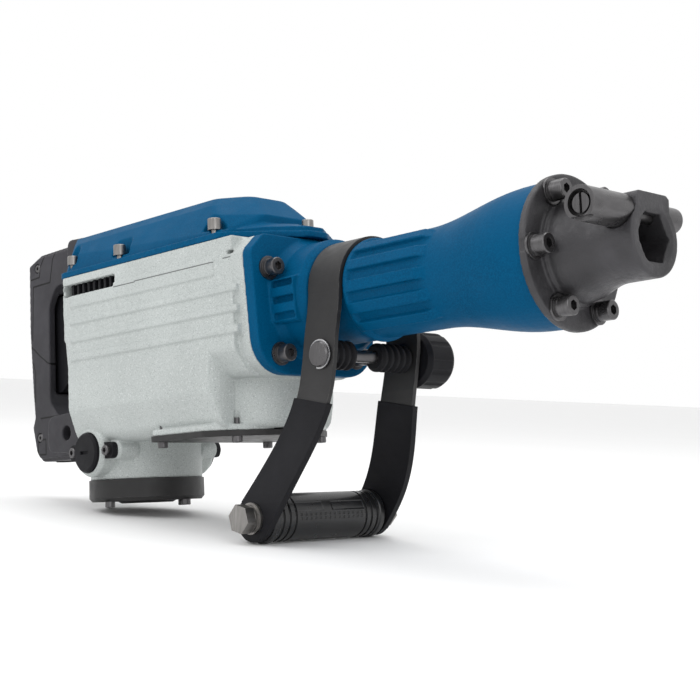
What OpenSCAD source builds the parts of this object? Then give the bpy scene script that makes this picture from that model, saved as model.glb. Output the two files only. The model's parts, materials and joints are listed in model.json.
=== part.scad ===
// Electric demolition hammer (jackhammer) with a 30 mm hexagon tool socket.
// Every sub-part is drawn with the barrel axis along X, the nose towards +X and
// x = 0 on the front cover's flange; rest_pose() then sets the machine down on
// z = 0, where it leans on its tail cover screws and on its side grip.

/* [Barrel and nose] */
// Width across flats of the tool socket
socket_af = 30; // [26:1:30]
// Depth of the tool socket
socket_depth = 54; // [45:1:54]
// Radius of the front cover's flange
flange_r = 51; // [50:0.5:52]
// Radius of the circle of front cover bolts
nose_bolt_pcr = 42.5; // [42:0.5:43]
// Length of the nose in front of the flange
nose_len = 60; // [58:1:62]
// Radius of the slim part of the cylinder case
barrel_r = 36.25; // [36:0.25:37]
// Radius of the neck that carries the side handle
neck_r = 36.25; // [36:0.25:36.5]
// Bore radius of the cylinder
cylinder_r = 27; // [26:0.5:27]

/* [Housing] */
// Half width of the crank housing
housing_half_w = 65; // [64:1:66]
// Height of the housing's top face above the barrel axis
housing_top = 49; // [48:1:50]
// Depth of the housing's floor below the barrel axis
housing_floor = -95; // [-96:1:-94]
// Height of the top cover's crown above the barrel axis
cover_top = 92; // [91:1:93]
// Distance of the motor axis behind the flange
motor_x = -463; // [-464:1:-462]
// Outer radius of the motor tube
motor_tube_r = 48; // [47:0.5:49]
// Height of the brush axis
brush_z = -103; // [-104:1:-102]

/* [Crank drive] */
// Crank radius, half the piston's stroke
crank_r = 13; // [10:0.5:13]
// Centre distance of the connecting rod
rod_len = 75; // [74:1:76]

/* [Rear handle] */
// Rearmost edge of the handle
handle_rear = -621; // [-623:1:-620]
// Half thickness of the handle
handle_half_w = 20; // [19:0.5:21]
// Travel of the trigger
trigger_travel = 6; // [4:0.5:6]

/* [Side handle] */
// Width of the clamping strap
strap_w = 32; // [31:1:32]
// Thickness of the clamping strap
strap_t = 3.5; // [3:0.5:4]
// Radius of the side grip
grip_r = 18.4; // [17:0.2:19]
// Height of the side grip's axis
grip_z = -161.5; // [-162:0.5:-160]
// Height of the clamp bolt's axis
clamp_z = -47.2; // [-47.5:0.1:-47]

/* [Hidden] */
$fn = 96;
eps = 0.01;
running = 0.06;

case_front = -5;
case_rear = -250;
strap_x = -190.5;
grip_x = -249;
arm_bend_z = -11;
arm_bend_r = (pow(grip_x - strap_x, 2) + pow(grip_z - arm_bend_z, 2)) / (strap_x - grip_x) / 2;
arm_bend_x = strap_x - arm_bend_r;
leg_in = neck_r + 0.3;
grip_half = 56.3;

lever_x = 48;
lever_z = socket_af / 2 + 1;
lever_pin_r = 5;

plate_t = 4.5;
tail_z0 = -126;
tail_z1 = -144.5;
tail_screw_pcr = 45;
tail_screw_turn = 10;
tail_head_h = 5;
tail_head_r = 4;

// gear train: motor pinion, intermediate wheel, intermediate pinion, crank gear
pinion_teeth = 10;
wheel_teeth = 60;
small_teeth = 14;
crank_teeth = 52;
fast_module = 1.5;
slow_module = 2;
inter_x = motor_x + fast_module * (pinion_teeth + wheel_teeth) / 2;
crank_x = inter_x + slow_module * (small_teeth + crank_teeth) / 2;
rod_x0 = crank_x - crank_r;
wrist_x = rod_x0 + rod_len;

// the floor touches the rearmost tail screw and the underside of the grip
foot_x = motor_x - tail_screw_pcr * cos(tail_screw_turn) - tail_head_r;
foot_z = tail_z1 - tail_head_h;
foot_to_grip = norm([grip_x - foot_x, grip_z - foot_z]);
rest_tilt = -atan2(grip_z - foot_z, grip_x - foot_x) + asin(grip_r / foot_to_grip);
floor_drop = foot_x * sin(rest_tilt) + foot_z * cos(rest_tilt);
front_reach = nose_len * cos(rest_tilt) + 25 * sin(rest_tilt);
rear_reach = (handle_rear - 0.5) * cos(rest_tilt) - 82 * sin(rest_tilt);

blue = [0.0, 0.33, 0.55];
grey = [0.74, 0.76, 0.75];
black = [0.13, 0.13, 0.14];
rubber = [0.08, 0.08, 0.08];
steel = [0.55, 0.56, 0.58];
dark_steel = [0.24, 0.24, 0.25];
copper = [0.72, 0.42, 0.2];
brass = [0.78, 0.62, 0.3];

// ---------------------------------------------------------------- helpers

module rest_pose()
    translate([-(front_reach + rear_reach) / 2, 0, -floor_drop])
        rotate([0, -rest_tilt, 0]) children();

module rod_along_x(x0, x1, r) translate([x0, 0, 0]) rotate([0, 90, 0]) cylinder(h = x1 - x0, r = r);
module rod_along_y(y0, y1, r) translate([0, y0, 0]) rotate([-90, 0, 0]) cylinder(h = y1 - y0, r = r);
module rod_along_z(z0, z1, r) translate([0, 0, z0]) cylinder(h = z1 - z0, r = r);

// flat outlines drawn in (Y, Z), (X, Z) and (X, Y)
module slab_x(x0, x1) translate([x0, 0, 0]) rotate([90, 0, 90]) linear_extrude(x1 - x0) children();
module slab_y(y0, y1) translate([0, y1, 0]) rotate([90, 0, 0]) linear_extrude(y1 - y0) children();
module slab_z(z0, z1) translate([0, 0, z0]) linear_extrude(z1 - z0) children();

module box(low, high) translate(low) cube(high - low);
module both_sides() for (side = [0, 1]) mirror([0, side, 0]) children();

// an outline whose corners are rounded, given as [x, y, corner radius]
function unit(v) = v / norm(v);
function rounded(pts, n = 6) = [
    for (i = [0 : len(pts) - 1])
        let (p = [pts[i][0], pts[i][1]], r = pts[i][2],
             before = pts[(i + len(pts) - 1) % len(pts)], after = pts[(i + 1) % len(pts)],
             u = unit([before[0], before[1]] - p), v = unit([after[0], after[1]] - p),
             half = acos(u * v) / 2, centre = p + unit(u + v) * r / sin(half),
             first = p + u * r / tan(half) - centre, start = atan2(first[1], first[0]),
             sweep = -sign(cross(u, v)) * (180 - 2 * half))
        for (k = [0 : r > 0 ? n : 0])
            r > 0 ? centre + r * [cos(start + sweep * k / n), sin(start + sweep * k / n)] : p
];

// a smooth step from a to b while t runs from 0 to 1
function ease(a, b, t) = a + (b - a) * (1 - cos(180 * t)) / 2;

// socket head screw along +Z, its seat at z = 0 and its shank below
module socket_screw(head_r, head_h, shank_r, shank_len, key_af) {
    difference() {
        union() {
            rod_along_z(0, head_h - 0.6, head_r);
            translate([0, 0, head_h - 0.6]) cylinder(h = 0.6, r1 = head_r, r2 = head_r - 0.6);
            if (shank_len > 0) rod_along_z(-shank_len, eps, shank_r);
        }
        translate([0, 0, head_h * 0.45]) cylinder(h = head_h, r = key_af / 2 / cos(30), $fn = 6);
    }
}

module washer(od, id, t) difference() {
    rod_along_z(0, t, od / 2);
    rod_along_z(-1, t + 1, id / 2);
}

// involute spur gear outline with stub teeth
function involute(rb, a) = rb * [cos(a) + a * PI / 180 * sin(a), sin(a) - a * PI / 180 * cos(a)];
function turned(p, a) = [p[0] * cos(a) - p[1] * sin(a), p[0] * sin(a) + p[1] * cos(a)];
function roll_angle(rb, r) = r > rb ? sqrt(pow(r / rb, 2) - 1) * 180 / PI : 0;
function gear_outline(teeth, m, play = 0.22, pa = 25, steps = 3) =
    let (rp = m * teeth / 2, rb = rp * cos(pa), ra = rp + 0.75 * m, rf = rp - 1.05 * m,
         inv = tan(pa) * 180 / PI - pa,
         half = 90 / teeth - play / 2 / rp * 180 / PI + inv,
         a0 = roll_angle(rb, max(rf, rb)), a1 = roll_angle(rb, ra))
    [for (i = [0 : teeth - 1]) let (c = 360 * i / teeth)
        for (side = [-1, 1]) for (k = [0 : steps + 1])
            let (s = side < 0 ? k : steps + 1 - k,
                 p = s == 0 ? [rf, 0] : involute(rb, a0 + (a1 - a0) * (s - 1) / steps))
            if (s > 0 || rf < rb) turned([p[0], -side * p[1]], c + side * half)];

// ---------------------------------------------------------------- housing

// front outline of the housing, which the cylinder case's rear flange repeats
module flange_outline(grow = 0) polygon(rounded([
    [-52 - grow, 48 + grow, 6], [-65 - grow, 35, 9], [-58 - grow, -56.5 - grow, 29],
    [58 + grow, -56.5 - grow, 29], [65 + grow, 35, 9], [52 + grow, 48 + grow, 6]], 10));

module housing_section() polygon(rounded([
    [-housing_half_w, housing_top, 1], [-housing_half_w, -66, 8], [-55, housing_floor, 14],
    [55, housing_floor, 14], [housing_half_w, -66, 8], [housing_half_w, housing_top, 1]]));

// the housing's shallower part beside the barrel's flange
module front_section() polygon(rounded([
    [-housing_half_w, housing_top, 1], [-housing_half_w, -36, 10], [-50, -56, 12],
    [50, -56, 12], [housing_half_w, -36, 10], [housing_half_w, housing_top, 1]]));

crank_case_x = -303;
crank_case_r = 45;

// rounded belly of the crank case, below the barrel's flange
module crank_case_belly() translate([crank_case_x, 0, 0]) rotate_extrude()
    polygon(concat([[0, housing_floor + 1]],
        [for (k = [0 : 6]) [crank_case_r - 6 + 6 * sin(15 * k), housing_floor + 7 - 6 * cos(15 * k)]],
        [[crank_case_r, -50], [0, -50]]));

// outline of the case's foot, which the bottom plate repeats
module foot_outline(grow = 0) polygon(rounded([
    [-373 - grow, -62 - grow, 6], [-304, -62 - grow, 8], [-288, -51 - grow, 10],
    [-273 + grow, -26, 10], [-263 + grow, 0, 14], [-273 + grow, 26, 10], [-288, 51 + grow, 10],
    [-304, 62 + grow, 8], [-373 - grow, 62 + grow, 6]]));

// bosses of one brush holder and of the two screws beside it
clip_screw_dx = 24.5;
module brush_boss() translate([motor_x, 0, brush_z]) {
    rod_along_y(20, 57, 20.5);
    translate([0, 57, 0]) rotate([-90, 0, 0]) cylinder(h = 3.5, r1 = 20.5, r2 = 18);
    for (dx = [-clip_screw_dx, clip_screw_dx]) translate([dx, 0, 1]) rod_along_y(10, 52, 8);
    translate([clip_screw_dx + 3, 34, 1]) rotate([-90, 0, 0]) cylinder(h = 17, r1 = 9, r2 = 7.5);
}

side_ribs = [[6.3, 11.9], [-9.2, -3.5], [-25.1, -18.4]];

module side_relief() {
    for (band = side_ribs)
        slab_x(-478, -256) polygon(rounded([[60, band[0] - 1.2, 0], [housing_half_w + 1.8, band[0] + 0.6, 0.6],
            [housing_half_w + 1.8, band[1] - 0.6, 0.6], [60, band[1] + 1.2, 0]], 3));
    slab_x(-478, -283) polygon(rounded([[60, 19.5, 0], [housing_half_w + 1.6, 21.4, 0.6],
        [housing_half_w + 1.6, 34.2, 0.6], [60, 36, 0]], 3));
}

module crank_housing() color(grey) rest_pose() difference() {
    union() {
        intersection() {
            slab_x(-490, -280) housing_section();
            slab_z(-100, 60) polygon(rounded([[-490, -70, 2], [-288, -70, 17], [-288, 70, 17],
                [-490, 70, 2]]));
            slab_y(-70, 70) polygon([[-490, 60], [-490, 16], [-484, -30], [-484, -100], [-280, -100],
                [-280, 60]]);
        }
        slab_x(-483, -262) front_section();
        slab_x(-263, case_rear) flange_outline();
        slab_x(-494, -480) polygon(rounded([[-62, -8, 4], [62, -8, 4], [62, housing_top, 1],
            [-62, housing_top, 1]]));
        crank_case_belly();
        slab_z(housing_floor, housing_floor + 5) foot_outline();
        translate([motor_x, 0, 0]) rod_along_z(tail_z0, 30, motor_tube_r);
        both_sides() brush_boss();
        both_sides() side_relief();
    }
    // motor bay, open at the bottom
    translate([motor_x, 0, 0]) rod_along_z(tail_z0 - 1, 20, 43.5);
    translate([motor_x, 0, 0]) rod_along_z(19, 31, 15 + eps);
    translate([motor_x, 0, 0]) rod_along_z(30, 60, 9);
    // crank chamber, open at the bottom under its plate
    box([-398, -45, -52], [-266, 45, 24]);
    box([-398, -45, housing_floor - 1], [-306, 45, -51]);
    box([-310, -30, 23], [-266, 30, 28]);
    translate([crank_case_x, 0, 0]) rod_along_z(housing_floor - 1, -51, 38);
    translate([crank_x, 0, 0]) rod_along_z(20, 38, 18 + eps);
    translate([crank_x, 0, 0]) rod_along_z(30, 60, 13);
    // gear tray under the top cover
    slab_z(38, housing_top + 1) polygon(rounded([[-482, -26, 8], [-462, -26, 4], [-440, -52, 10],
        [-384, -52, 6], [-378, -56, 6], [-306, -56, 8], [-288, -40, 8], [-288, 40, 8],
        [-306, 56, 8], [-378, 56, 6], [-384, 52, 6], [-440, 52, 10], [-462, 26, 4], [-482, 26, 8]]));
    translate([inter_x, 0, 0]) rod_along_z(26, 40, 6 + running);
    // seat of the cylinder liner
    rod_along_x(-270, case_rear + 1, 31.2);
    // ventilation slots
    both_sides() box([-489.5, housing_half_w - 12, 31.5], [-413, housing_half_w + 3, 42]);
    both_sides() box([-268, housing_half_w - 12, 35], [-262, housing_half_w + 3, 38]);
    // brush holder bores
    both_sides() translate([motor_x, 0, brush_z]) rod_along_y(30, 70, 12);
    both_sides() translate([motor_x, 0, brush_z]) rod_along_y(57, 70, 16.9);
    // threaded holes
    both_sides() for (dx = [-clip_screw_dx, clip_screw_dx])
        translate([motor_x + dx, 0, brush_z + 1]) rod_along_y(40, 60, 2);
    for (p = case_bolt_places) translate([0, p[0], p[1]]) rod_along_x(-268, -249, 3.4);
    for (p = cover_screw_places) translate([p[0], p[1], 0]) rod_along_z(43.5, 60, 2.5);
    for (p = plate_screw_places) translate([p[0], p[1], 0]) rod_along_z(-102, -80, 2);
    for (a = tail_screw_angles) translate([motor_x, 0, 0]) rotate([0, 0, a])
        translate([tail_screw_pcr, 0, 0]) rod_along_z(-132, -112, 1.8);
    for (p = handle_mount_places) translate([p[0], p[1], p[2]]) rod_along_x(-520, -474, 2.5);
}

cover_screw_places = [for (x = [-415, -290]) for (y = [-57.5, 57.5]) [x, y]];
plate_screw_places = [[-365, -55], [-365, 55], [-287, -43.5], [-287, 43.5], [-270, 0]];
tail_screw_angles = [for (k = [0 : 3]) tail_screw_turn + 90 * k];
case_bolt_places = [[-48.5, 22], [48.5, 22], [-39, -41.5], [39, -41.5]];
handle_mount_places = [[0, -14, 70], [0, 14, 70], [0, -14, 20], [0, 14, 20]];

module cover_plan() polygon(rounded([
    [-499, -housing_half_w, 10], [-277, -housing_half_w, 8],
    [-256, -38, 10], [-234, -8, 10], [-234, 8, 10],
    [-256, 38, 10], [-277, housing_half_w, 8],
    [-499, housing_half_w, 10]]));

module cover_crown(half_w, z0, z1, front) slab_z(z0, z1) polygon(rounded([
    [-556 + half_w, -half_w, 14], [front - 22, -half_w, 14], [front, -half_w * 0.45, 12],
    [front, half_w * 0.45, 12], [front - 22, half_w, 14], [-556 + half_w, half_w, 14]], 4));

module cover_body() {
    slab_z(housing_top, 54) cover_plan();
    hull() {
        slab_z(housing_top, 56) polygon(rounded([[-505, -56, 10],
            [-286, -61, 12], [-274, -40, 10], [-274, 40, 10],
            [-286, 61, 12], [-505, 56, 10]], 4));
        cover_crown(52, 60, 71, -270);
        cover_crown(45, 60, 82, -282);
        cover_crown(37, 60, cover_top - 2.5, -290);
        cover_crown(29, 60, cover_top, -298);
    }
    hull() {
        slab_z(housing_top, 58) polygon(rounded([[-290, -54, 8],
            [-258, -34, 8], [-238, -8, 9], [-238, 8, 9],
            [-258, 34, 8], [-290, 54, 8]], 4));
        slab_z(housing_top, 64) polygon(rounded([[-300, -44, 8],
            [-272, -26, 8], [-258, 0, 8],
            [-272, 26, 8], [-300, 44, 8]], 4));
    }
}

module top_cover() color(blue) rest_pose() difference() {
    cover_body();
    // hollow over the gear train
    slab_z(housing_top - 1, 58) polygon(rounded([[-486, -44, 10], [-300, -50, 10],
        [-284, -34, 8], [-284, 34, 8], [-300, 50, 10], [-486, 44, 10]]));
    slab_z(57, 79) polygon(rounded([[-486, -38, 10], [-330, -38, 16],
        [-312, -18, 10], [-312, 18, 10], [-330, 38, 16], [-486, 38, 10]]));
    translate([crank_x, 0, 0]) rod_along_z(48, 63, 56);
    translate([inter_x, 0, 0]) rod_along_z(56, 74, 47.5);
    // room for the handle's collar
    box([-600, -34.1, 48], [-494, 34.1, 120]);
    // pockets around the four screws
    for (p = cover_screw_places) {
        translate([p[0], p[1], 0]) rod_along_z(40, 60, 2.7);
        side = sign(p[1]);
        slab_z(58, cover_top) translate([p[0], p[1]]) polygon(rounded([
            [-12, -7 * side, 5], [12, -7 * side, 5], [15, 30 * side, 0], [-15, 30 * side, 0]]));
    }
    // screws of the nose lobe and of the rear corners
    for (p = cover_small_screws) translate([p[0], p[1], 0]) rod_along_z(40, 80, 2.2);
    for (p = cover_small_screws) translate([p[0], p[1], 0]) rod_along_z(p[2], 110, 7);
    for (p = handle_mount_places) translate([p[0], p[1], p[2]]) rod_along_x(-520, -495, 2.5);
}

cover_small_screws = [[-247, 0, 57], [-492, -53, 62], [-492, 53, 62]];

module top_cover_screws() color(steel) rest_pose() {
    for (p = cover_screw_places) translate([p[0], p[1], 58]) socket_screw(5.2, 9, 2.4, 14, 5);
    for (p = cover_small_screws) translate([p[0], p[1], p[2]]) socket_screw(4.6, 8, 2.1, p[2] - 50, 4);
}

module bottom_plate() color(black) rest_pose() difference() {
    union() {
        slab_z(housing_floor - plate_t, housing_floor) foot_outline(0.8);
        slab_z(housing_floor, housing_floor + 5) translate([-391, -44]) square([80, 88]);
    }
    for (p = plate_screw_places) translate([p[0], p[1], 0]) rod_along_z(-110, -80, 2.2);
}

module bottom_plate_screws() color(dark_steel) rest_pose()
    for (p = plate_screw_places) translate([p[0], p[1], housing_floor - plate_t])
        rotate([180, 0, 0]) socket_screw(4.1, 5, 1.9, 14, 3.5);

module tail_cover() color(black) rest_pose() translate([motor_x, 0, 0]) difference() {
    union() {
        rod_along_z(tail_z1 + 3, tail_z0, 49.5);
        translate([0, 0, tail_z1]) cylinder(h = 3 + eps, r1 = 47, r2 = 49.5);
        translate([0, 0, tail_z1 - 1.8]) cylinder(h = 2.5, r1 = 22, r2 = 27);
    }
    rod_along_z(-131, tail_z0 + 1, 40);
    rod_along_z(-139, -130, 11 + eps);
    for (a = tail_screw_angles) rotate([0, 0, a]) translate([tail_screw_pcr, 0, 0])
        rod_along_z(-150, -120, 1.9);
}

module tail_cover_screws() color(dark_steel) rest_pose() translate([motor_x, 0, tail_z1])
    for (a = tail_screw_angles) rotate([0, 0, a]) translate([tail_screw_pcr, 0, 0])
        rotate([180, 0, 0]) socket_screw(tail_head_r, tail_head_h, 1.7, 26, 4);

// ---------------------------------------------------------------- brushes

module brush_cap() difference() {
    union() {
        rod_along_y(59.5, 62.2, 16.7);
        translate([0, 62.2, 0]) rotate([-90, 0, 0]) cylinder(h = 1.6, r1 = 16.7, r2 = 15);
        rod_along_y(47, 59.5 + eps, 10);
    }
    box([-6, 62, -1.4], [6, 66, 1.4]);
    rod_along_y(46, 56, 7);
}

module brush_cap_left() color(black) rest_pose() translate([motor_x, 0, brush_z]) brush_cap();
module brush_cap_right() color(black) rest_pose() mirror([0, 1, 0])
    translate([motor_x, 0, brush_z]) brush_cap();

module brush_clips() color(black) rest_pose() both_sides()
    translate([motor_x, 0, brush_z + 1]) difference() {
        slab_y(52.1, 57) polygon(rounded([[-32, -6.8, 5], [32, -6.8, 5], [32, 6.8, 5], [-32, 6.8, 5]]));
        translate([0, 0, -1]) rod_along_y(50, 60, 20.6);
        for (dx = [-clip_screw_dx, clip_screw_dx]) translate([dx, 0, 0]) rod_along_y(50, 60, 2.2);
    }

module brush_clip_screws() color(dark_steel) rest_pose() both_sides()
    for (dx = [-clip_screw_dx, clip_screw_dx]) translate([motor_x + dx, 57, brush_z + 1])
        rotate([-90, 0, 0]) socket_screw(4.4, 3.6, 1.9, 14, 4);

module brush_holders() color(brass) rest_pose() both_sides() translate([motor_x, 0, brush_z])
    difference() {
        rod_along_y(21, 46.5, 9.5);
        box([-5.1, 20, -7.1], [5.1, 48, 7.1]);
    }

module carbon_brushes() color(rubber) rest_pose() both_sides() translate([motor_x, 0, brush_z])
    box([-5, 18.3, -7], [5, 40, 7]);

module vent_inserts() color(black) rest_pose() both_sides() {
    box([-489.5 + eps, housing_half_w - 12, 31.5 + eps], [-413 - eps, housing_half_w - 9, 42 - eps]);
    for (k = [0 : 8]) box([-482 + 8 * k, housing_half_w - 9.5, 31.6], [-479 + 8 * k, housing_half_w - 4, 41.9]);
}

// ---------------------------------------------------------------- barrel

// outer radius of the cylinder case as [x, r], from the rear neck to the flange
flare_steps = 14;
case_profile = concat(
    [[-240, 44], [-213, 44], [-209, neck_r + 4], [-207.5, neck_r], [-173.5, neck_r],
     [-173, neck_r + 1.9], [-169.5, neck_r + 1.9], [-167.5, barrel_r - 0.75]],
    [for (k = [0 : flare_steps]) let (t = k / flare_steps)
        [-112 + 92 * t, ease(barrel_r - 0.75, flange_r - 3.2, t)]],
    [[case_front, flange_r - 3]]);

// long ribs on both sides of the slim part, running into the flare
module barrel_ribs() both_sides() for (a = [44, 68, 92, 116, 140]) rotate([a, 0, 0])
    slab_y(-4.2, 4.2) polygon([[-172, 30], [-172, neck_r + 2], [-166, neck_r + 3],
        [-130, neck_r + 3], [-104, neck_r + 3], [-97, 37], [-97, 30]]);

case_seat = -240;

module cylinder_case() color(blue) rest_pose() difference() {
    union() {
        rotate([0, 90, 0]) rotate_extrude() polygon(concat([[0, -240]],
            [for (p = case_profile) [p[1], p[0]]], [[0, case_front]]));
        slab_x(case_rear, case_seat) flange_outline();
        translate([case_seat - 1, 0, 0]) rotate([0, 90, 0]) cylinder(h = 8, r1 = 48.8, r2 = 43.9);
        barrel_ribs();
        slab_x(case_seat - 1, -214) polygon(rounded([[-46, -20, 4], [46, -20, 4], [49, 14, 4], [-49, 14, 4]]));
    }
    rod_along_x(case_rear - 1, -118, 31.2);
    rod_along_x(-119, case_front + 1, 27);
    both_sides() for (z = [9, -3, -15]) box([-238, 43, z - 2.5], [-215, 60, z + 2.5]);
    for (p = case_bolt_places) translate([0, p[0], p[1]]) rod_along_x(case_rear - 1, case_seat + 1, 4.2);
    for (p = case_bolt_places) translate([0, p[0], p[1]]) rod_along_x(case_seat, -200, 9.5);
    for (k = [0 : 5]) rotate([60 * k, 0, 0]) translate([0, nose_bolt_pcr, 0])
        rod_along_x(-30, 0, 3.4);
}

module case_bolts() color(dark_steel) rest_pose() for (p = case_bolt_places)
    translate([case_seat, p[0], p[1]]) rotate([0, 90, 0]) {
        washer(17.6, 8.3, 1.6);
        translate([0, 0, 1.6]) washer(13.4, 8.3, 2.2);
        translate([0, 0, 3.8]) socket_screw(6.5, 8, 3.3, 28, 6);
    }

module cylinder_liner() color(steel) rest_pose() difference() {
    rod_along_x(-268, -119, 31.2 - eps);
    rod_along_x(-269, -118, cylinder_r);
}

module front_cover() color(dark_steel) rest_pose() difference() {
    union() {
        rod_along_x(case_front, -1, flange_r);
        translate([-1 - eps, 0, 0]) rotate([0, 90, 0]) cylinder(h = 1, r1 = flange_r, r2 = flange_r - 1);
        rod_along_x(-2, 3, 35.5);
        rotate([0, 90, 0]) rotate_extrude() polygon(concat([[0, 2]],
            [for (k = [0 : 8]) [ease(33.5, 25, k / 8), 3 + 33 * k / 8]],
            [[25, nose_len - 1], [24, nose_len], [0, nose_len]]));
        slab_x(34, nose_len) polygon(rounded([[-18, 4, 3], [18, 4, 3], [18, 27.5, 4], [-18, 27.5, 4]]));
        slab_x(28, 44) polygon(rounded([[-18, 4, 3], [18, 4, 3], [14, 26, 4], [-14, 26, 4]]));
    }
    // hexagon socket, then the way through for the impact bolt
    translate([nose_len - socket_depth, 0, 0]) rotate([0, 90, 0]) rotate([0, 0, 30])
        cylinder(h = socket_depth + 1, r = socket_af / 2 / cos(30), $fn = 6);
    rod_along_x(case_front - 1, nose_len - socket_depth + 1, 13);
    rod_along_x(case_front - 1, -2, 19);
    translate([nose_len - 1.4, 0, 0]) rotate([0, 90, 0])
        cylinder(h = 1.5, r1 = socket_af / 2 / cos(30) - 0.6, r2 = socket_af / 2 / cos(30) + 1.2);
    translate([lever_x, 0, lever_z]) {
        rod_along_y(-30, 30, lever_pin_r + running);
        rod_along_y(-62, -18.9, 10.85);
        rod_along_y(18.9, 62, 8.6);
    }
    for (k = [0 : 5]) rotate([60 * k, 0, 0]) translate([0, nose_bolt_pcr, 0])
        rod_along_x(-10, 4, 4.2);
    for (k = [0 : 5]) rotate([60 * k, 0, 0]) translate([0, nose_bolt_pcr, 0])
        rod_along_x(0, 20, 9.4);
    rotate([180, 0, 0]) translate([-4, 0, 0]) box([0, flange_r - 1.4, -4], [8, flange_r + 3, 4]);
}

module front_cover_bolts() color(dark_steel) rest_pose() for (k = [0 : 5])
    rotate([60 * k, 0, 0]) translate([0, nose_bolt_pcr, 0]) rotate([0, 90, 0]) {
        washer(17.4, 8.3, 1.6);
        translate([0, 0, 1.6]) washer(13.4, 8.3, 2.4);
        translate([0, 0, 4]) socket_screw(6.5, 8.4, 3.3, 31, 6);
    }

module guide_bush() color(brass) rest_pose() difference() {
    union() {
        rod_along_x(-60, case_front - eps, 26.9);
        rod_along_x(-9, -2.1, 18.9);
    }
    rod_along_x(-61, 0, 16);
}

module front_buffer() color(rubber) rest_pose() difference() {
    rod_along_x(-72, -60, 26.9);
    rod_along_x(-73, -59, 20.5);
}

// ---------------------------------------------------------------- motor and drive

module stator_core() color(steel) rest_pose() translate([motor_x, 0, 0]) difference() {
    rod_along_z(-66, -12, 43.5 - eps);
    rod_along_z(-67, -11, 27);
    both_sides() box([-20, 20, -67], [20, 36, -11]);
}

module field_windings() color(copper) rest_pose() translate([motor_x, 0, 0]) both_sides()
    difference() {
        slab_z(-76, -2) polygon(rounded([[-19, 27.2, 3], [19, 27.2, 3], [19, 35.5, 3], [-19, 35.5, 3]]));
        rod_along_z(-77, -1, 27.1);
    }

module motor_bearings() color(steel) rest_pose() translate([motor_x, 0, 0]) {
    difference() { rod_along_z(20, 29, 15); rod_along_z(19, 30, 6); }
    difference() { rod_along_z(-138.5, -130.5, 11); rod_along_z(-139, -130, 5); }
}

module armature_shaft() color(steel) rest_pose() translate([motor_x, 0, 0]) {
    rod_along_z(-138, -128, 5 - running);
    rod_along_z(-128, 18, 6.5);
    rod_along_z(18, 60, 6 - running);
    slab_z(60, 74) polygon(gear_outline(pinion_teeth, fast_module));
}

module armature_core() color(steel) rest_pose() translate([motor_x, 0, 0]) difference() {
    rod_along_z(-64, -14, 26);
    rod_along_z(-65, -13, 6.5 + eps);
    for (k = [0 : 11]) rotate([0, 0, 30 * k]) box([19, -1.6, -65], [24, 1.6, -13]);
}

module commutator() color(copper) rest_pose() translate([motor_x, 0, 0]) difference() {
    rod_along_z(-115, -90, 18);
    rod_along_z(-116, -89, 6.5 + eps);
    for (k = [0 : 23]) rotate([0, 0, 15 * k]) box([16.5, -0.3, -116], [19, 0.3, -89]);
}

module cooling_fan() color(black) rest_pose() translate([motor_x, 0, 0]) difference() {
    union() {
        rod_along_z(3, 6, 38);
        rod_along_z(3, 16, 12);
        for (k = [0 : 11]) rotate([0, 0, 30 * k]) box([11, -1, 5], [37, 1, 15]);
    }
    rod_along_z(0, 20, 6.5 + eps);
}

// the wheel and the crank gear start half a tooth round, so that the teeth mesh at rest
module intermediate_gear() color(steel) rest_pose() translate([inter_x, 0, 0]) {
    rod_along_z(27, 76, 6);
    slab_z(51, 61) polygon(gear_outline(small_teeth, slow_module));
    rod_along_z(60, 63.5, 10);
    slab_z(63, 72) rotate([0, 0, 180 + 180 / wheel_teeth]) polygon(gear_outline(wheel_teeth, fast_module));
}

module crank_gear() color(steel) rest_pose() translate([crank_x, 0, 0]) difference() {
    slab_z(51.5, 60.5) rotate([0, 0, 180 + 180 / crank_teeth]) polygon(gear_outline(crank_teeth, slow_module));
    rod_along_z(50, 62, 10);
    for (k = [0 : 5]) rotate([0, 0, 60 * k]) translate([29, 0, 0]) rod_along_z(50, 62, 8);
}

module crank_bearing() color(steel) rest_pose() translate([crank_x, 0, 0]) difference() {
    rod_along_z(24, 37, 18);
    rod_along_z(23, 39, 10);
}

module crankshaft() color(steel) rest_pose() translate([crank_x, 0, 0]) {
    rod_along_z(21, 60.5, 10 - running);
    rod_along_z(10, 22, 26);
    translate([-crank_r, 0, 0]) rod_along_z(-9, 11, 8 - running);
}

module connecting_rod() color(steel) rest_pose() difference() {
    union() {
        translate([rod_x0, 0, 0]) rod_along_z(-8.5, 8.5, 14.5);
        box([rod_x0, -6, -5], [wrist_x, 6, 5]);
        translate([wrist_x, 0, 0]) rod_along_z(-6, 6, 8);
    }
    translate([rod_x0, 0, 0]) rod_along_z(-10, 10, 8);
    translate([wrist_x, 0, 0]) rod_along_z(-10, 10, 4.5);
}

module wrist_pin() color(steel) rest_pose() translate([wrist_x, 0, 0]) rod_along_z(-10, 10, 4.5);

piston_open = wrist_x - 10;
piston_crown = wrist_x + 2 * crank_r + 10;
piston_front = piston_crown + 12;

module piston() color(steel) rest_pose() difference() {
    rod_along_x(piston_open, piston_front, cylinder_r - 0.08);
    rod_along_x(piston_open - 1, piston_crown, 22.8);
    for (x = [piston_crown + 3, piston_crown + 8]) difference() {
        rod_along_x(x - 1, x + 1, cylinder_r + 1);
        rod_along_x(x - 2, x + 2, cylinder_r - 1.6);
    }
}

module piston_rings() color(rubber) rest_pose() for (x = [piston_crown + 3, piston_crown + 8])
    difference() {
        rod_along_x(x - 0.9, x + 0.9, cylinder_r - 0.05);
        rod_along_x(x - 2, x + 2, cylinder_r - 1.6);
    }

module striker() color(steel) rest_pose() {
    rod_along_x(-200, -158, cylinder_r - 0.08);
    translate([-158 - eps, 0, 0]) rotate([0, 90, 0]) cylinder(h = 8, r1 = 20, r2 = 14);
    rod_along_x(-150.1, -126, 14);
}

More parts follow.
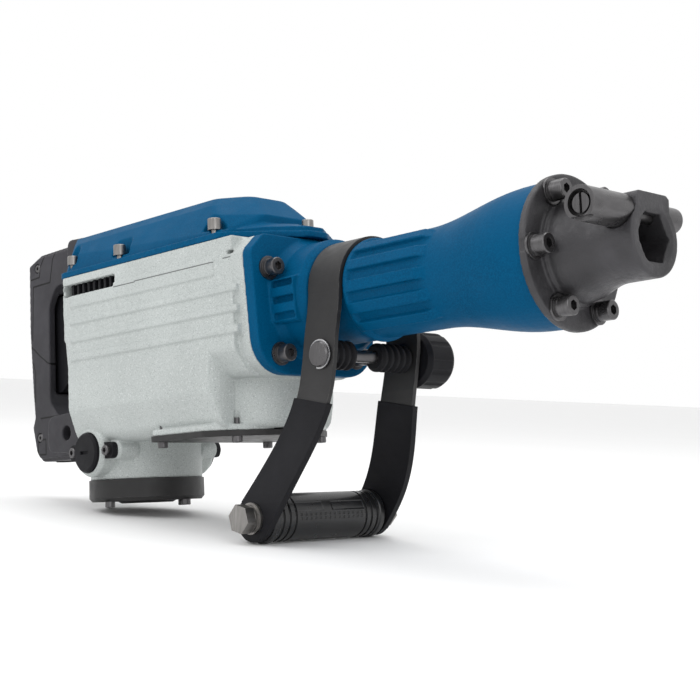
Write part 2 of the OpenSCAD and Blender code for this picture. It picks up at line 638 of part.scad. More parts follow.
module impact_bolt() color(steel) rest_pose() {
    rod_along_x(-98, -76, 19.5);
    rod_along_x(-76 - eps, -14, 16 - running);
    rod_along_x(-14 - eps, 3, 11.5);
}

// ---------------------------------------------------------------- rear handle

module handle_outline() polygon(rounded([
    [-494, 90, 4], [-556, 92.5, 20], [-601, 91.5, 10], [handle_rear - 0.5, 84, 5],
    [handle_rear - 0.5, 20, 60], [handle_rear + 4, -40, 60], [handle_rear + 6.5, -63, 4],
    [handle_rear + 2.5, -72, 5], [-612, -96, 12], [-603, -104.5, 6], [-494, -104.5, 4]]));

module hand_gap_outline(grow = 0) polygon(rounded([
    [-506 + grow, 58 + grow, 14], [-572, 58 + grow, 14], [-584 - grow, 40, 20],
    [-584 - grow, -50, 14], [-570, -64 - grow, 12], [-506 + grow, -60 - grow, 14]]));

// inside of the handle: grip and the two arms
module handle_hollow() {
    polygon(rounded([[-591, 74, 6], [-608, 74, 6], [-613, 60, 8], [-610, -56, 8],
        [-602, -90, 4], [-591, -90, 4]]));
    polygon(rounded([[-500, 84, 4], [-600, 84, 8], [-600, 66, 4], [-500, 66, 4]]));
    polygon(rounded([[-512, -72, 4], [-600, -72, 4], [-600, -94, 6], [-512, -94, 4]]));
}

handle_screw_places = [[-530, -82, 6], [-604, 79, 4], [-603, -82, 4]];

module handle_shell() difference() {
    union() {
        slab_y(0, handle_half_w - 3) handle_outline();
        slab_y(0, handle_half_w) intersection() {
            handle_outline();
            translate([4, 0]) handle_outline();
            translate([0, -3]) handle_outline();
            translate([0, 3]) handle_outline();
        }
        // flares where the arms meet the housing
        slab_y(0, 34) polygon(rounded([[-494, 90.5, 3], [-530, 92.4, 6], [-532, 62, 6], [-494, 55, 2]]));
        slab_y(0, 38) polygon(rounded([[-484, -62, 2], [-560, -66, 10], [-560, -98, 8], [-484, -102, 4]]));
    }
    slab_y(-1, 60) hand_gap_outline();
    difference() {
        slab_y(-1, handle_half_w - 5) handle_hollow();
        for (p = handle_screw_places) translate([p[0], 0, p[1]]) rod_along_y(-2, 18, 5);
    }
    box([-590 - trigger_travel, -1, -42], [-570, 13, 52]);
    translate([motor_x, 0, 0]) rod_along_z(-140, 110, motor_tube_r + 0.1);
    translate([motor_x - clip_screw_dx, 0, brush_z + 1]) rod_along_y(5, 60, 8.1);
    for (p = handle_screw_places) translate([p[0], 0, p[1]]) {
        rod_along_y(16, 60, p[2] + 0.5);
        rod_along_y(-1, 17, 1.9);
    }
    translate([-590, 0, 0]) rod_along_z(-106, -90, 9.1);
}

module handle_shell_left() color(black) rest_pose() handle_shell();
module handle_shell_right() color(black) rest_pose() mirror([0, 1, 0]) handle_shell();

// soft pad along the back of the grip
module handle_cushion() color(rubber) rest_pose() difference() {
    slab_y(-12, 12) polygon(rounded([[handle_rear - 2.5, 52, 3], [handle_rear + 8, 54, 3],
        [handle_rear + 8, -40, 3], [handle_rear - 1, -34, 3]]));
    slab_y(-40, 40) handle_outline();
}

module handle_screws() color(dark_steel) rest_pose() mirror([0, 1, 0])
    for (p = handle_screw_places) translate([p[0], 16, p[1]])
        rotate([-90, 0, 0]) socket_screw(p[2], 3.6, 1.8, 26, 3);

module switch_body() color(black) rest_pose() difference() {
    box([-608.5, -12, -30], [-597, 12, 44]);
    for (z = [-20, 34]) translate([-603, 0, z]) rod_along_y(-13, 13, 2);
}

module trigger() color(black) rest_pose() slab_y(-10, 10) polygon(rounded([
    [-590, 48, 2], [-578, 50, 4], [-567, 34, 10], [-564, 4, 30], [-570, -34, 8],
    [-580, -41, 4], [-590, -40, 2]]));

module cord_inlet() color(rubber) rest_pose() translate([-590, 0, 0]) difference() {
    rod_along_z(-105.3, -93, 9);
    rod_along_z(-120, -90, 4.2);
}

// ---------------------------------------------------------------- tool lock

module retaining_lever() color(dark_steel) rest_pose() translate([lever_x, 0, lever_z]) {
    difference() {
        union() {
            rod_along_y(-58, 36, lever_pin_r);
            rod_along_y(-60, -19, 10.75);
            rod_along_y(19, 38, 8.5);
            translate([0, 38, 0]) rotate([-90, 0, 0]) cylinder(h = 3, r1 = 8.5, r2 = 5.5);
        }
        rod_along_y(-61, -52, 8.2);
        box([-9, -61, -8], [9, -56, -20]);
        box([-20, -12, 0.9], [20, 12, 12]);
        translate([0, -24, 0]) rod_along_z(2, 12, 2);
    }
    difference() {
        rod_along_y(-58.5, -50, 6);
        box([-0.9, -60, -7], [0.9, -56, 7]);
    }
}

module lever_spring_pin() color(steel) rest_pose() translate([lever_x, -24, lever_z])
    rod_along_z(2, 9.4, 2);

// ---------------------------------------------------------------- side handle

// half the gap between the two arms at height z: they lean out, then run on to the grip's ends
function leg_y(z) = ease(leg_in - 0.2, leg_in + 4.6, min(1, max(0, (4 - z) / 45)))
    + ease(0, 17.7, min(1, max(0, (-66 - z) / 95)));
leg_steps = 30;
function leg_line(grow, z0, z1) =
    [for (k = [0 : leg_steps]) let (z = z0 + (z1 - z0) * k / leg_steps) [leg_y(z) + grow, z]];
function backwards(pts) = [for (i = [len(pts) - 1 : -1 : 0]) pts[i]];
function mirrored(pts) = [for (p = pts) [-p[0], p[1]]];
function leg_strip(inner, outer, z0, z1) =
    concat(leg_line(inner, z0, z1), backwards(leg_line(outer, z0, z1)));
function strap_line(r, grow) = concat(backwards(leg_line(grow, 3.9, grip_z - 20)),
    [for (k = [6 : 3 : 174]) [r * cos(k), r * sin(k)]], mirrored(leg_line(grow, 3.9, grip_z - 20)));

// side view of an arm: a band bent to arm_bend_r that ends round the grip bolt
module arm_band(half_w, z_top, z_slope) {
    intersection() {
        translate([arm_bend_x, arm_bend_z]) difference() {
            circle(arm_bend_r + half_w, $fn = 360);
            circle(arm_bend_r - half_w, $fn = 360);
        }
        polygon([[-300, z_top + z_slope * 100], [-100, z_top - z_slope * 100], [-100, grip_z + 40],
            [grip_x + 14, grip_z - 14], [grip_x - 14, grip_z + 14], [-300, grip_z + 60]]);
    }
    translate([grip_x, grip_z]) circle(half_w - 0.5);
}

module handle_strap() color(dark_steel) rest_pose() difference() {
    intersection() {
        slab_x(-300, -100) polygon(concat(strap_line(leg_in, 0),
            backwards(strap_line(leg_in + strap_t, strap_t))));
        slab_y(-90, 90) {
            translate([strap_x - strap_w / 2, -18]) square([strap_w, 72]);
            arm_band(strap_w / 2, -17, 0);
        }
    }
    translate([strap_x, 0, clamp_z]) rod_along_y(-60, 60, 5 + eps);
    translate([grip_x, 0, grip_z]) rod_along_y(-90, 90, 6 + eps);
}

module arm_sleeve() difference() {
    intersection() {
        slab_x(-300, -100) polygon(leg_strip(-0.8, strap_t + 1, 3.9, grip_z - 20));
        slab_y(30, 90) arm_band(17.8, -80, 0.2);
    }
    intersection() {
        slab_x(-300, -100) polygon(leg_strip(0, strap_t, 3.9, grip_z - 20));
        slab_y(30, 90) arm_band(strap_w / 2, -42, 0);
    }
    translate([grip_x, 0, grip_z]) rod_along_y(30, 90, 6 + eps);
}

module arm_sleeve_left() color(black) rest_pose() arm_sleeve();
module arm_sleeve_right() color(black) rest_pose() mirror([0, 1, 0]) arm_sleeve();

grip_grooves = [-48, -42, -36, 36, 42, 48];

module side_grip() color(rubber) rest_pose() translate([grip_x, 0, grip_z]) difference() {
    rotate([-90, 0, 0]) rotate_extrude() polygon([[0, -grip_half], [grip_r - 1, -grip_half],
        [grip_r, -grip_half + 1.5], [grip_r, -grip_half + 5], [grip_r - 0.8, -grip_half + 6],
        [grip_r - 0.8, grip_half - 6], [grip_r, grip_half - 5], [grip_r, grip_half - 1.5],
        [grip_r - 1, grip_half], [0, grip_half]]);
    rod_along_y(-60, 60, 6 + eps);
    for (y = grip_grooves) difference() {
        rod_along_y(y - 1, y + 1, grip_r + 1);
        rod_along_y(y - 2, y + 2, grip_r - 1.8);
    }
}

bolt_seat = leg_y(grip_z) + strap_t + 1.1;

module grip_bolt() color(steel) rest_pose() translate([grip_x, 0, grip_z]) {
    rod_along_y(-bolt_seat - 6, bolt_seat + 6, 6);
    both_sides() difference() {
        translate([0, bolt_seat + 5.2, 0]) rotate([-90, 0, 0]) rotate([0, 0, 15])
            cylinder(h = 8.2, r = 9.5 / cos(30), $fn = 6);
        rod_along_y(0, bolt_seat + 6, 6 - eps);
    }
}

module grip_washers() color(steel) rest_pose() translate([grip_x, 0, grip_z]) both_sides()
    translate([0, bolt_seat, 0]) rotate([-90, 0, 0]) {
        washer(23, 12.02, 2.4);
        translate([0, 0, 2.4]) washer(20, 12.02, 2.8);
    }

clamp_seat = leg_y(clamp_z - 10) + strap_t;
clamp_gap = leg_y(clamp_z + 10) - 0.1;

module clamp_bolt() color(dark_steel) rest_pose() translate([strap_x, 0, clamp_z]) {
    rod_along_y(-clamp_seat - 0.1, 70, 4.5);
    rod_along_y(-clamp_seat - 2.8, -clamp_seat, 9.4);
    translate([0, -clamp_seat - 4, 0]) rotate([-90, 0, 0]) cylinder(h = 1.3, r1 = 8.4, r2 = 9.4);
}

module clamp_bolt_clip() color(steel) rest_pose() translate([strap_x, 0, clamp_z])
    translate([0, -clamp_seat - 1.9, 0]) rotate([-90, 0, 0]) difference() {
        cylinder(h = 1.1, r = 10.6);
        translate([0, 0, -1]) cylinder(h = 4, r = 9.4);
        rotate([0, 0, 20]) box([-30, -2, -1], [0, 20, 3]);
    }

bellows_r = 10.7;
module bellows(y0, y1, folds) translate([strap_x, 0, clamp_z]) difference() {
    union() {
        rod_along_y(y0, y1, bellows_r - 2.4);
        for (k = [0 : folds - 1]) let (pitch = (y1 - y0) / folds, y = y0 + pitch * (k + 0.5)) {
            rod_along_y(y - pitch * 0.14, y + pitch * 0.14, bellows_r);
            for (side = [-1, 1]) translate([0, y + side * pitch * 0.14, 0]) rotate([-90 * side, 0, 0])
                cylinder(h = pitch * 0.24, r1 = bellows_r, r2 = bellows_r - 2.4);
        }
    }
    rod_along_y(y0 - 1, y1 + 1, 4.5 + eps);
}

module bellows_left() color(rubber) rest_pose() bellows(9, clamp_gap, 5);
module bellows_right() color(rubber) rest_pose() bellows(-clamp_gap, -17, 4);

module clamp_knob() color(black) rest_pose() translate([strap_x, 0, clamp_z]) difference() {
    union() {
        rod_along_y(clamp_seat + 0.3, 50, 9);
        rotate([-90, 0, 0]) rotate_extrude() polygon([[0, 48], [18.5, 48], [21.5, 51], [21.5, 73],
            [20, 76], [16, 77.6], [0, 77.6]]);
    }
    rod_along_y(40, 71, 4.5 + running);
    for (k = [0 : 11]) rotate([0, 30 * k, 0]) translate([23.6, 0, 0]) rod_along_y(52, 80, 3.2);
}

crank_housing();
top_cover();
top_cover_screws();
bottom_plate();
bottom_plate_screws();
tail_cover();
tail_cover_screws();
brush_cap_left();
brush_cap_right();
brush_clips();
brush_clip_screws();
brush_holders();
carbon_brushes();
vent_inserts();
cylinder_case();
case_bolts();
cylinder_liner();
front_cover();
front_cover_bolts();
guide_bush();
front_buffer();
handle_shell_left();
handle_shell_right();
handle_cushion();
handle_screws();
switch_body();
cord_inlet();
stator_core();
field_windings();
motor_bearings();
crank_bearing();
armature_shaft();
armature_core();
commutator();
cooling_fan();
intermediate_gear();
crank_gear();
crankshaft();
connecting_rod();
wrist_pin();
piston();
piston_rings();
striker();
impact_bolt();
trigger();
retaining_lever();
lever_spring_pin();
handle_strap();
arm_sleeve_left();
arm_sleeve_right();
side_grip();
grip_bolt();
grip_washers();
clamp_bolt();
clamp_bolt_clip();
bellows_left();
bellows_right();
clamp_knob();
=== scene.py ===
"""Electric demolition hammer: materials, cast surfaces, grip pattern, floor, lights and camera.

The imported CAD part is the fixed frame. Castings and mouldings get rounded edges from modifiers,
and every node gets a procedural material by the material slot that the record gives it.
"""
import json

import bmesh
import bpy
from mathutils import Matrix, Vector

MM = 0.001
NOSE_LEN = 60           # mm, from the barrel's flange to the tool socket
FLOOR_RADIUS = 30       # m

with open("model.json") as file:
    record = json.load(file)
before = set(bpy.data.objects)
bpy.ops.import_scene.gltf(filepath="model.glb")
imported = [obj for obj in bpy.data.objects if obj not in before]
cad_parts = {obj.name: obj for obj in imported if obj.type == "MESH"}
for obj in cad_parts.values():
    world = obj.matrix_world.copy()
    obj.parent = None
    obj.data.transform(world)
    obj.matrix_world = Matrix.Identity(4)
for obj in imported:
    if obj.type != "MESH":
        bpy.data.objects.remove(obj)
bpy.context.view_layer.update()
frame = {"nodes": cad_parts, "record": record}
nodes = frame["nodes"]
record = frame["record"]
slot_of = {part["node"]: part["material_slot"] for part in record["subparts"]}


# ---------------------------------------------------------------- the tool's own frame

def tool_frame():
    """Matrix to the shared frame from the tool's own, in mm: barrel along X, its flange at x = 0."""
    mount = next(m for m in record["mounts"] if m["name"] == "tool_socket")
    along = Vector(mount["axis"]).normalized()
    left = Vector((0, 1, 0))
    up = along.cross(left)
    flange = Vector(mount["pos_m"]) - along * NOSE_LEN * MM
    turn = Matrix((along, left, up)).transposed()
    return Matrix.Translation(flange) @ turn.to_4x4() @ Matrix.Scale(MM, 4)


tool = tool_frame()
GRIP_AXIS = (-249, 0, -161.5)
GRIP_R = 18.4
DIMPLE_ACROSS = 3.2     # mm, spacing of the grip's dimples round it
DIMPLE_ALONG = 4.8      # mm, and along it


# ---------------------------------------------------------------- material helpers

class Look:
    """One procedural material, built around a Principled shader and object coordinates."""

    def __init__(self, name, **sockets):
        self.mat = bpy.data.materials.new(name)
        self.mat.use_nodes = True
        self.tree = self.mat.node_tree
        self.shader = self.tree.nodes["Principled BSDF"]
        self.place = self.add("ShaderNodeTexCoord").outputs["Object"]
        for socket, value in sockets.items():
            self.shader.inputs[socket.replace("_", " ")].default_value = value

    def add(self, kind, **settings):
        made = self.tree.nodes.new(kind)
        for key, value in settings.items():
            setattr(made, key, value)
        return made

    def link(self, out, socket):
        self.tree.links.new(out, socket)

    def put(self, value, socket):
        if isinstance(value, bpy.types.NodeSocket):
            self.link(value, socket)
        else:
            socket.default_value = value

    def math(self, operation, a, b=0.0, clamp=False):
        made = self.add("ShaderNodeMath", operation=operation, use_clamp=clamp)
        self.put(a, made.inputs[0])
        self.put(b, made.inputs[1])
        return made.outputs[0]

    def stretched(self, factors):
        """Object coordinates, stretched along each axis."""
        made = self.add("ShaderNodeMapping")
        self.link(self.place, made.inputs["Vector"])
        made.inputs["Scale"].default_value = factors
        return made.outputs["Vector"]

    def noise(self, scale, detail=3.0, rough=0.5, place=None):
        made = self.add("ShaderNodeTexNoise")
        self.link(place or self.place, made.inputs["Vector"])
        made.inputs["Scale"].default_value = scale
        made.inputs["Detail"].default_value = detail
        made.inputs["Roughness"].default_value = rough
        return made.outputs["Fac"]

    def cells(self, scale):
        made = self.add("ShaderNodeTexVoronoi")
        self.link(self.place, made.inputs["Vector"])
        made.inputs["Scale"].default_value = scale
        return made.outputs["Distance"]

    def spread(self, value, low, high, to_low=0.0, to_high=1.0):
        made = self.add("ShaderNodeMapRange")
        self.put(value, made.inputs["Value"])
        limits = {"From Min": low, "From Max": high, "To Min": to_low, "To Max": to_high}
        for socket, number in limits.items():
            self.put(number, made.inputs[socket])
        return made.outputs["Result"]

    def mix(self, share, a, b):
        made = self.add("ShaderNodeMix", data_type="RGBA")
        self.put(share, made.inputs["Factor"])
        self.put(a, made.inputs["A"])
        self.put(b, made.inputs["B"])
        return made.outputs["Result"]

    def bump(self, height, strength, distance, under=None):
        made = self.add("ShaderNodeBump")
        made.inputs["Strength"].default_value = strength
        made.inputs["Distance"].default_value = distance
        self.link(height, made.inputs["Height"])
        if under:
            self.link(under, made.inputs["Normal"])
        return made.outputs["Normal"]

    def soft_edge(self, radius):
        made = self.add("ShaderNodeBevel", samples=4)
        made.inputs["Radius"].default_value = radius
        return made.outputs["Normal"]

    def edge_wear(self, rounded):
        """1 on sharp edges, broken up by noise, and 0 elsewhere."""
        turned = self.add("ShaderNodeVectorMath", operation="DOT_PRODUCT")
        self.link(rounded, turned.inputs[0])
        self.link(self.add("ShaderNodeNewGeometry").outputs["Normal"], turned.inputs[1])
        edge = self.spread(turned.outputs["Value"], 0.985, 0.90)
        return self.math("MULTIPLY", edge, self.spread(self.noise(160, 5), 0.45, 0.62))

    def tool_place(self, origin=(0, 0, 0)):
        """Coordinates in the tool's own frame, in mm, measured from a point of that frame."""
        made = self.add("ShaderNodeMapping", vector_type="TEXTURE")
        self.link(self.place, made.inputs["Vector"])
        made.inputs["Location"].default_value = tool @ Vector(origin)
        made.inputs["Rotation"].default_value = tool.to_3x3().normalized().to_euler()
        made.inputs["Scale"].default_value = (MM, MM, MM)
        return made.outputs["Vector"]

    def vector(self, operation, a, b=(0, 0, 0), out="Vector"):
        made = self.add("ShaderNodeVectorMath", operation=operation)
        self.put(a, made.inputs[0])
        self.put(b, made.inputs[1])
        return made.outputs[out]

    def near_lines(self, place, lines, width):
        """1 on lines drawn on the tool's sides as (x, z) points in mm, and 0 away from them."""
        flat = self.vector("MULTIPLY", place, (1, 0, 1))
        nearest = None
        for line in lines:
            for start, end in zip(line, line[1:]):
                a, b = Vector((start[0], 0, start[1])), Vector((end[0], 0, end[1]))
                along = (b - a) / (b - a).length_squared
                offset = self.vector("SUBTRACT", flat, a)
                reach = self.vector("DOT_PRODUCT", offset, along, "Value")
                share = self.math("ADD", reach, 0.0, clamp=True)
                scaled = self.add("ShaderNodeVectorMath", operation="SCALE")
                scaled.inputs[0].default_value = b - a
                self.link(share, scaled.inputs["Scale"])
                gap = self.vector("DISTANCE", offset, scaled.outputs["Vector"], "Value")
                nearest = self.math("MINIMUM", nearest, gap) if nearest else gap
        return self.spread(nearest, width / 2 + 0.35, width / 2)

    def within(self, value, low, high, soft=0.5):
        """1 where a value lies between two limits, and 0 outside them."""
        rise = self.spread(value, low - soft, low + soft)
        return self.math("MULTIPLY", rise, self.spread(value, high + soft, high - soft))

    def from_middle(self, value, pitch):
        """Distance from the middle of the repeating cell that a value lies in."""
        share = self.math("FRACT", self.math("DIVIDE", value, pitch))
        return self.math("MULTIPLY", self.math("SUBTRACT", share, 0.5), pitch)

    def finish(self, colour, roughness, normal):
        self.put(colour, self.shader.inputs["Base Color"])
        self.put(roughness, self.shader.inputs["Roughness"])
        self.link(normal, self.shader.inputs["Normal"])
        return self.mat


def rgb(r, g, b):
    return (r, g, b, 1.0)


def shade(colour, factor):
    return (colour[0] * factor, colour[1] * factor, colour[2] * factor, 1.0)


# ---------------------------------------------------------------- materials, one per slot

def blue_casting():
    look = Look("blue_casting", Specular_IOR_Level=0.04)
    base = rgb(0.0, 0.060, 0.142)
    tone = look.mix(look.spread(look.noise(14, 4), 0.35, 0.65), shade(base, 0.86), shade(base, 1.12))
    fine = look.noise(900, 2)
    grain = look.mix(look.spread(fine, 0.4, 0.62), tone, rgb(0.0, 0.074, 0.172))
    rounded = look.soft_edge(0.9 * MM)
    wear = look.edge_wear(rounded)
    colour = look.mix(look.math("MULTIPLY", wear, 0.35), grain, rgb(0.04, 0.18, 0.32))
    peel = look.math("ADD", look.noise(420, 2), look.math("MULTIPLY", fine, 0.5))
    rough = look.spread(look.noise(60, 4), 0.3, 0.7, 0.40, 0.52)
    return look.finish(colour, rough, look.bump(peel, 0.22, 0.25 * MM, rounded))


# lines along the lower edge of the raised panel on the housing's sides, as (x, z) in the tool's frame
HOUSING_LINES = (
    ((-412, 30.5), (-383, 30.5), (-382, 31.2), (-283, 31.2)),
    ((-272, 32.6), (-263.5, 32.6)),
)


def grey_casting():
    look = Look("grey_casting", Specular_IOR_Level=0.3)
    base = rgb(0.44, 0.47, 0.46)
    tone = look.mix(look.spread(look.noise(11, 4), 0.35, 0.65), shade(base, 0.93), shade(base, 1.05))
    specks = look.noise(1250, 3, 0.6)
    dark = look.mix(look.spread(specks, 0.52, 0.70), tone, rgb(0.24, 0.26, 0.26))
    light = look.mix(look.spread(look.noise(900, 2), 0.58, 0.80), dark, rgb(0.62, 0.65, 0.64))
    rounded = look.soft_edge(1.0 * MM)
    wear = look.edge_wear(rounded)
    worn = look.mix(look.math("MULTIPLY", wear, 0.3), light, rgb(0.75, 0.76, 0.76))
    place = look.tool_place()
    split = look.add("ShaderNodeSeparateXYZ")
    look.link(place, split.inputs[0])
    outside = look.spread(look.math("ABSOLUTE", split.outputs[1]), 63.5, 64.5)
    step_groove_and_shade = look.math("MULTIPLY", look.near_lines(place, HOUSING_LINES, 0.5), outside)
    # painted shade: a dark line under the raised side panel's lower edge, also bumped in as a groove
    colour = look.mix(look.math("MULTIPLY", step_groove_and_shade, 0.8), worn, rgb(0.06, 0.065, 0.065))
    hammer = look.math("ADD", look.noise(330, 3), look.math("MULTIPLY", specks, 0.6))
    rough = look.spread(look.noise(70, 4), 0.3, 0.7, 0.42, 0.56)
    cast = look.bump(hammer, 0.30, 0.3 * MM, rounded)
    return look.finish(colour, rough, look.bump(look.math("SUBTRACT", 1.0, step_groove_and_shade), 0.6, 0.5 * MM, cast))


def black_casting():
    look = Look("black_casting", Metallic=0.3, Specular_IOR_Level=0.5)
    base = rgb(0.034, 0.033, 0.036)
    tone = look.mix(look.spread(look.noise(30, 5), 0.35, 0.65), shade(base, 0.7), shade(base, 1.5))
    rounded = look.soft_edge(0.9 * MM)
    wear = look.edge_wear(rounded)
    colour = look.mix(look.math("MULTIPLY", wear, 0.6), tone, rgb(0.11, 0.11, 0.115))
    sand = look.math("ADD", look.noise(520, 6, 0.65), look.math("MULTIPLY", look.noise(150, 3), 0.8))
    rough = look.spread(look.noise(240, 5), 0.3, 0.7, 0.34, 0.58)
    return look.finish(colour, rough, look.bump(sand, 0.55, 0.5 * MM, rounded))


def black_metal():
    look = Look("black_metal", Specular_IOR_Level=0.3)
    base = rgb(0.020, 0.0195, 0.020)
    tone = look.mix(look.spread(look.noise(18, 4), 0.35, 0.65), shade(base, 0.75), shade(base, 1.3))
    rounded = look.soft_edge(0.7 * MM)
    wear = look.edge_wear(rounded)
    colour = look.mix(look.math("MULTIPLY", wear, 0.7), tone, rgb(0.13, 0.125, 0.12))
    rough = look.spread(look.noise(110, 5), 0.3, 0.7, 0.36, 0.52)
    return look.finish(colour, rough, look.bump(look.noise(650, 3), 0.14, 0.2 * MM, rounded))


def moulded(name, base, low, high, grain_scale, strength):
    """Moulded plastic or rubber with a fine spark-eroded grain."""
    look = Look(name, Specular_IOR_Level=0.12)
    tone = look.mix(look.spread(look.noise(22, 4), 0.35, 0.65), shade(base, 0.85), shade(base, 1.2))
    rounded = look.soft_edge(0.8 * MM)
    wear = look.edge_wear(rounded)
    colour = look.mix(look.math("MULTIPLY", wear, 0.25), tone, shade(base, 3.0))
    grain = look.math("ADD", look.cells(grain_scale), look.noise(grain_scale * 1.7, 3))
    rough = look.spread(look.noise(90, 4), 0.3, 0.7, low, high)
    return look.finish(colour, rough, look.bump(grain, strength, 0.16 * MM, rounded))


# parting grooves on the rear handle's sides, as (x, z) in the tool's frame
HANDLE_SEAMS = (
    ((-616, 69), (-599.5, 70), (-598.5, 79), (-588, 92)),
    ((-613, 11), (-610.5, 62), (-581.5, 62.5), (-576.5, 84), (-569, 92)),
    ((-615, 5), (-600.5, -5), (-587.5, -12.5), (-575, -17.5)),
    ((-612, -11), (-608.5, -20), (-609, -48)),
    ((-600, -64), (-540, -63)),
    ((-605, -84), (-592, -84), (-592, -98), (-605, -98), (-605, -84)),
)


def handle_plastic():
    """The black plastic of the rear handle's shells, with its parting grooves."""
    look = Look("handle_plastic", Specular_IOR_Level=0.22)
    base = rgb(0.032, 0.031, 0.036)
    groove = look.near_lines(look.tool_place(), HANDLE_SEAMS, 1.1)
    tone = look.mix(look.spread(look.noise(22, 4), 0.35, 0.65), shade(base, 0.85), shade(base, 1.2))
    rounded = look.soft_edge(0.8 * MM)
    wear = look.edge_wear(rounded)
    worn = look.mix(look.math("MULTIPLY", wear, 0.25), tone, shade(base, 3.0))
    colour = look.mix(look.math("MULTIPLY", groove, 0.95), worn, shade(base, 0.06))
    grain = look.math("ADD", look.cells(1100), look.noise(1900, 3))
    grained = look.bump(grain, 0.3, 0.16 * MM, rounded)
    rough = look.spread(look.noise(90, 4), 0.3, 0.7, 0.46, 0.60)
    return look.finish(colour, rough, look.bump(look.math("SUBTRACT", 1.0, groove), 0.8, 0.7 * MM, grained))


def side_grip_rubber():
    """Glossy rubber with two sunk panels towards the front and rows of dimples under them."""
    look = Look("side_grip_rubber", Specular_IOR_Level=0.5)
    base = rgb(0.011, 0.011, 0.012)
    split = look.add("ShaderNodeSeparateXYZ")
    look.link(look.tool_place(GRIP_AXIS), split.inputs[0])
    x, y, z = split.outputs
    arc = look.math("MULTIPLY", look.math("ARCTAN2", z, x), GRIP_R)
    panels = look.math("MULTIPLY", look.within(arc, 4.4, 11.5), look.math(
        "ADD", look.within(y, -42, -8.5), look.within(y, 0.5, 34)))
    across = look.from_middle(arc, DIMPLE_ACROSS)
    along = look.from_middle(y, DIMPLE_ALONG)
    squares = look.math("ADD", look.math("POWER", across, 2.0), look.math("POWER", along, 2.0))
    reach = look.math("SQRT", squares)
    field = look.math("MULTIPLY", look.within(arc, -3.3, 2.9), look.within(y, -32, 32))
    dimples = look.math("MULTIPLY", look.spread(reach, 1.15, 0.75), field)
    sunk = look.math("MAXIMUM", panels, dimples)
    rounded = look.soft_edge(0.7 * MM)
    tone = look.mix(look.spread(look.noise(30, 4), 0.35, 0.65), shade(base, 0.8), shade(base, 1.3))
    # painted shade: the dimples are drawn darker than the rubber around them
    colour = look.mix(look.math("MULTIPLY", dimples, 0.8), tone, shade(base, 0.2))
    rough = look.spread(field, 0.0, 1.0, look.spread(look.noise(120, 4), 0.3, 0.7, 0.26, 0.34), 0.42)
    fine = look.bump(look.noise(1500, 3), 0.12, 0.12 * MM, rounded)
    return look.finish(colour, rough, look.bump(look.math("SUBTRACT", 1.0, sunk), 0.9, 0.7 * MM, fine))


def black_plastic():
    return moulded("black_plastic", rgb(0.010, 0.010, 0.012), 0.44, 0.58, 1300, 0.28)


def grip_rubber():
    return moulded("grip_rubber", rgb(0.012, 0.012, 0.0135), 0.50, 0.64, 900, 0.22)


def turned_metal(name, base, low, high, metallic=1.0, streak=(900, 60, 60)):
    """Machined metal: fine turning marks, colour variation and brighter worn edges."""
    look = Look(name, Metallic=metallic)
    marks = look.noise(1.0, 4, 0.6, look.stretched(streak))
    tone = look.mix(look.spread(marks, 0.3, 0.7), shade(base, 0.8), shade(base, 1.18))
    blotch = look.mix(look.spread(look.noise(45, 4), 0.4, 0.7, 0.0, 0.35), tone, shade(base, 0.6))
    rounded = look.soft_edge(0.35 * MM)
    wear = look.edge_wear(rounded)
    colour = look.mix(look.math("MULTIPLY", wear, 0.5), blotch, shade(base, 1.6))
    rough = look.spread(look.noise(130, 5), 0.3, 0.7, low, high)
    return look.finish(colour, rough, look.bump(marks, 0.12, 0.1 * MM, rounded))


def black_steel():
    return turned_metal("black_steel", rgb(0.115, 0.112, 0.115), 0.24, 0.38, 0.9)


def steel():
    return turned_metal("steel", rgb(0.46, 0.46, 0.47), 0.20, 0.36)


def zinc_steel():
    return turned_metal("zinc_steel", rgb(0.27, 0.26, 0.25), 0.30, 0.44)


def copper():
    return turned_metal("copper", rgb(0.62, 0.27, 0.13), 0.28, 0.42)


def brass():
    return turned_metal("brass", rgb(0.68, 0.47, 0.19), 0.24, 0.40)


def carbon():
    return moulded("carbon", rgb(0.030, 0.030, 0.031), 0.5, 0.7, 2200, 0.3)


makers = (blue_casting, grey_casting, black_casting, black_metal, black_plastic, grip_rubber,
          black_steel, steel, zinc_steel, copper, brass, carbon)
materials = {make.__name__: make() for make in makers}
special = {"handle_shell_left": handle_plastic(), "side_grip": side_grip_rubber()}
special["handle_shell_right"] = special["handle_shell_left"]
special["handle_screws"] = materials["black_steel"]


def dress(node, material):
    mesh = nodes[node].data
    mesh.materials.clear()
    mesh.materials.append(material)


for node in nodes:
    dress(node, special.get(node, materials[slot_of[node]]))


# ---------------------------------------------------------------- rounded castings and mouldings

def soften(node, voxel, passes):
    """Rounds a CAD node's edges, as casting or moulding does, without touching its mesh."""
    remesh = nodes[node].modifiers.new("cast", "REMESH")
    remesh.mode = "VOXEL"
    remesh.voxel_size = voxel
    remesh.use_smooth_shade = True
    smooth = nodes[node].modifiers.new("rounded", "SMOOTH")
    smooth.factor = 0.5
    smooth.iterations = passes


# node, voxel size in mm, smoothing passes
ROUNDED = (
    ("crank_housing", 0.8, 2),
    ("top_cover", 0.8, 4),
    ("cylinder_case", 0.8, 2),
    ("front_cover", 0.7, 2),
    ("handle_shell_left", 0.9, 5),
    ("handle_shell_right", 0.9, 5),
)
for node, voxel, passes in ROUNDED:
    soften(node, voxel * MM, passes)


# ---------------------------------------------------------------- floor, lights and camera

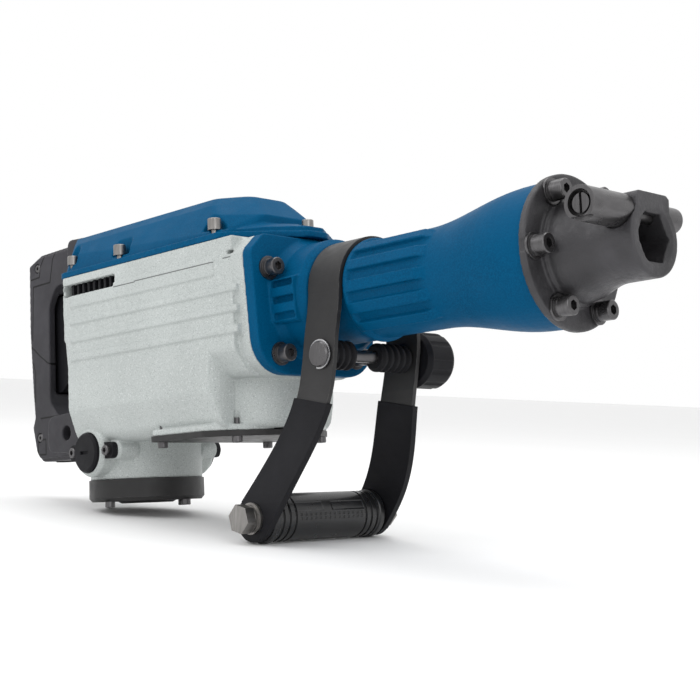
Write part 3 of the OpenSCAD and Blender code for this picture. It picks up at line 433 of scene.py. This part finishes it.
def floor():
    """A pale round floor that runs far past the picture's edge."""
    mesh = bpy.data.meshes.new("floor")
    shape = bmesh.new()
    bmesh.ops.create_circle(shape, cap_ends=True, segments=96, radius=FLOOR_RADIUS)
    shape.to_mesh(mesh)
    shape.free()
    made = bpy.data.objects.new("floor", mesh)
    bpy.context.scene.collection.objects.link(made)
    look = Look("floor", Specular_IOR_Level=0.2)
    tone = look.mix(look.noise(3, 3), rgb(0.86, 0.86, 0.86), rgb(0.88, 0.88, 0.88))
    mesh.materials.append(look.finish(tone, 0.7, look.bump(look.noise(200, 3), 0.05, 0.2 * MM)))


def area_light(name, place, target, size, power):
    light = bpy.data.lights.new(name, "AREA")
    light.shape = "RECTANGLE"
    light.size, light.size_y = size
    light.energy = power
    made = bpy.data.objects.new(name, light)
    made.location = place
    made.rotation_euler = (Vector(target) - Vector(place)).to_track_quat("-Z", "Y").to_euler()
    bpy.context.scene.collection.objects.link(made)


def lights():
    world = bpy.data.worlds.new("studio")
    world.use_nodes = True
    world.node_tree.nodes["Background"].inputs["Color"].default_value = rgb(1.0, 1.0, 1.0)
    world.node_tree.nodes["Background"].inputs["Strength"].default_value = 1.0
    bpy.context.scene.world = world
    middle = (0, 0, 0.16)
    area_light("key", (-0.5, -1.6, 1.7), middle, (1.6, 1.2), 13)
    area_light("side", (1.8, -0.9, 0.9), middle, (0.8, 1.4), 6)
    area_light("top", (-0.1, 0.3, 2.0), middle, (2.2, 1.0), 14)


def camera():
    """The camera stands low in front of the machine's right side, where the photograph was taken."""
    place = Vector((499.9, -701.4, -150.7))
    right = Vector((0.6937, 0.7192, -0.0386)).normalized()
    forward = Vector((-0.7118, 0.6928, 0.1157)).normalized()
    down = forward.cross(right).normalized()
    right = down.cross(forward)
    turn = Matrix((right, -down, -forward)).transposed()
    data = bpy.data.cameras.new("camera")
    data.sensor_width = 36
    data.lens = 69.4
    data.shift_x = 0.020
    data.shift_y = -0.010
    made = bpy.data.objects.new("camera", data)
    made.matrix_world = Matrix.LocRotScale(
        tool @ place, tool.to_3x3().normalized().to_quaternion() @ turn.to_quaternion(), None)
    bpy.context.scene.collection.objects.link(made)
    bpy.context.scene.camera = made


floor()
lights()
camera()
bpy.context.scene.view_settings.view_transform = "Standard"
